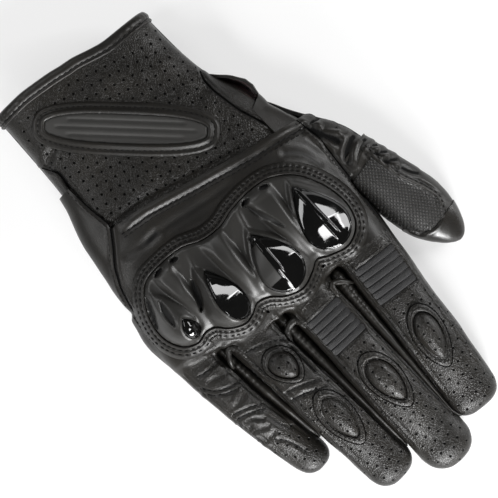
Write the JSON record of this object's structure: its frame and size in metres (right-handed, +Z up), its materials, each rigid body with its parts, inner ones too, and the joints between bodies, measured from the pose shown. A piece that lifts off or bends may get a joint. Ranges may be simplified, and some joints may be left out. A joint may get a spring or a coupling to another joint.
{
  "type": "motorcycle glove",
  "caption": "Right-hand leather motorcycle glove with a short perforated cuff, a hard knuckle guard with gloss inserts and padded jointed fingers.",
  "frame": {"origin": "under the middle of the glove, on the surface that it lies on", "axes": "+X towards the little-finger side, +Y towards the fingertips, +Z up out of the back of the hand"},
  "size_m": [0.1398, 0.244, 0.0467],
  "materials": {
    "leather": "matt full-grain leather, near black",
    "perforated_leather": "matt leather with rows of pinholes",
    "palm_suede": "napped black suede",
    "matte_shell": "satin moulded shell",
    "gloss_insert": "polished black moulding",
    "foam": "closed-cell foam",
    "badge_rubber": "matt moulded rubber",
    "stretch_cloth": "ribbed stretch cloth",
    "lining": "dark red-brown cloth",
    "hook_tape": "hook and loop tape"
  },
  "bodies": {
    "hand": {"back_panel": "leather", "palm_panel": "palm_suede", "outer_side_panel": "leather", "cuff_back_panel": "perforated_leather", "cuff_palm_panel": "leather", "cuff_binding": "leather", "cuff_lining": "lining", "wrist_badge": "badge_rubber", "wrist_gusset": "leather", "loop_patch": "hook_tape", "palm_heel_pad": "leather", "palm_grip_patch": "palm_suede", "knuckle_guard": "matte_shell", "index_knuckle_insert": "gloss_insert", "middle_knuckle_insert": "gloss_insert", "ring_knuckle_insert": "gloss_insert", "little_knuckle_insert": "gloss_insert", "knuckle_foam": "foam", "guard_surround": "leather"},
    "strap": {"wrist_strap": "leather", "hook_patch": "hook_tape"},
    "index_base": {"index_back_base": "perforated_leather", "index_palm_base": "palm_suede", "index_stretch_panel": "stretch_cloth"},
    "index_middle": {"index_back_middle": "perforated_leather", "index_palm_middle": "palm_suede", "index_pad": "leather"},
    "index_tip": {"index_back_tip": "perforated_leather", "index_palm_tip": "palm_suede"},
    "middle_base": {"middle_back_base": "perforated_leather", "middle_palm_base": "palm_suede", "middle_stretch_panel": "stretch_cloth"},
    "middle_middle": {"middle_back_middle": "perforated_leather", "middle_palm_middle": "palm_suede", "middle_pad": "leather"},
    "middle_tip": {"middle_back_tip": "perforated_leather", "middle_palm_tip": "palm_suede"},
    "ring_base": {"ring_back_base": "perforated_leather", "ring_palm_base": "palm_suede", "ring_knuckle_pad": "leather"},
    "ring_middle": {"ring_back_middle": "perforated_leather", "ring_palm_middle": "palm_suede", "ring_pad": "leather"},
    "ring_tip": {"ring_back_tip": "perforated_leather", "ring_palm_tip": "palm_suede"},
    "little_base": {"little_back_base": "perforated_leather", "little_palm_base": "palm_suede"},
    "little_middle": {"little_back_middle": "perforated_leather", "little_palm_middle": "palm_suede"},
    "little_tip": {"little_back_tip": "perforated_leather", "little_palm_tip": "palm_suede"},
    "thumb_base": {"thumb_back_base": "leather", "thumb_palm_base": "palm_suede"},
    "thumb_tip": {"thumb_back_tip": "leather", "thumb_palm_tip": "palm_suede", "thumb_grip_panel": "palm_suede"}
  },
  "joints": [
    {"name": "strap_swing", "type": "hinge", "parent": "hand", "child": "strap", "pos_m": [-0.01882, -0.06225, 0.00733], "axis": [0, 1, 0], "range_deg": [0, 90]},
    {"name": "index_knuckle_bend", "type": "hinge", "parent": "hand", "child": "index_base", "pos_m": [-0.02882, 0.01725, 0.0172], "axis": [-0.9942, 0.108, 0], "range_deg": [-8, 60]},
    {"name": "index_middle_bend", "type": "hinge", "parent": "index_base", "child": "index_middle", "pos_m": [-0.02515, 0.05105, 0.01838], "axis": [-0.9942, 0.108, 0], "range_deg": [0, 70]},
    {"name": "index_end_bend", "type": "hinge", "parent": "index_middle", "child": "index_tip", "pos_m": [-0.02169, 0.08286, 0.01406], "axis": [-0.9942, 0.108, 0], "range_deg": [0, 42]},
    {"name": "middle_knuckle_bend", "type": "hinge", "parent": "hand", "child": "middle_base", "pos_m": [0.00428, 0.01815, 0.0176], "axis": [-1, 0, 0], "range_deg": [-8, 60]},
    {"name": "middle_middle_bend", "type": "hinge", "parent": "middle_base", "child": "middle_middle", "pos_m": [0.00428, 0.05255, 0.01926], "axis": [-1, 0, 0], "range_deg": [0, 70]},
    {"name": "middle_end_bend", "type": "hinge", "parent": "middle_middle", "child": "middle_tip", "pos_m": [0.00428, 0.08715, 0.01504], "axis": [-1, 0, 0], "range_deg": [0, 42]},
    {"name": "ring_knuckle_bend", "type": "hinge", "parent": "hand", "child": "ring_base", "pos_m": [0.03418, 0.01295, 0.0168], "axis": [-0.9976, -0.0698, 0], "range_deg": [-8, 60]},
    {"name": "ring_middle_bend", "type": "hinge", "parent": "ring_base", "child": "ring_middle", "pos_m": [0.03153, 0.05086, 0.01823], "axis": [-0.9976, -0.0698, 0], "range_deg": [0, 70]},
    {"name": "ring_end_bend", "type": "hinge", "parent": "ring_middle", "child": "ring_tip", "pos_m": [0.02937, 0.08178, 0.01367], "axis": [-0.9976, -0.0698, 0], "range_deg": [0, 42]},
    {"name": "little_knuckle_bend", "type": "hinge", "parent": "hand", "child": "little_base", "pos_m": [0.05958, 0.00525, 0.015], "axis": [-0.9917, -0.1288, 0], "range_deg": [-8, 60]},
    {"name": "little_middle_bend", "type": "hinge", "parent": "little_base", "child": "little_middle", "pos_m": [0.05527, 0.03847, 0.01517], "axis": [-0.9917, -0.1288, 0], "range_deg": [0, 70]},
    {"name": "little_end_bend", "type": "hinge", "parent": "little_middle", "child": "little_tip", "pos_m": [0.05237, 0.06078, 0.01147], "axis": [-0.9917, -0.1288, 0], "range_deg": [0, 42]},
    {"name": "thumb_knuckle_bend", "type": "hinge", "parent": "hand", "child": "thumb_base", "pos_m": [-0.05152, 0.00215, 0.0138], "axis": [-0.9508, -0.1934, -0.2419], "range_deg": [0, 20]},
    {"name": "thumb_middle_bend", "type": "hinge", "parent": "thumb_base", "child": "thumb_tip", "pos_m": [-0.05631, 0.02567, 0.01093], "axis": [-0.9508, -0.1934, -0.2419], "range_deg": [0, 45]}
  ],
  "couplings": [
    {"joint": "index_end_bend", "follows": "index_middle_bend", "ratio": 0.6},
    {"joint": "middle_end_bend", "follows": "middle_middle_bend", "ratio": 0.6},
    {"joint": "ring_end_bend", "follows": "ring_middle_bend", "ratio": 0.6},
    {"joint": "little_end_bend", "follows": "little_middle_bend", "ratio": 0.6}
  ]
}
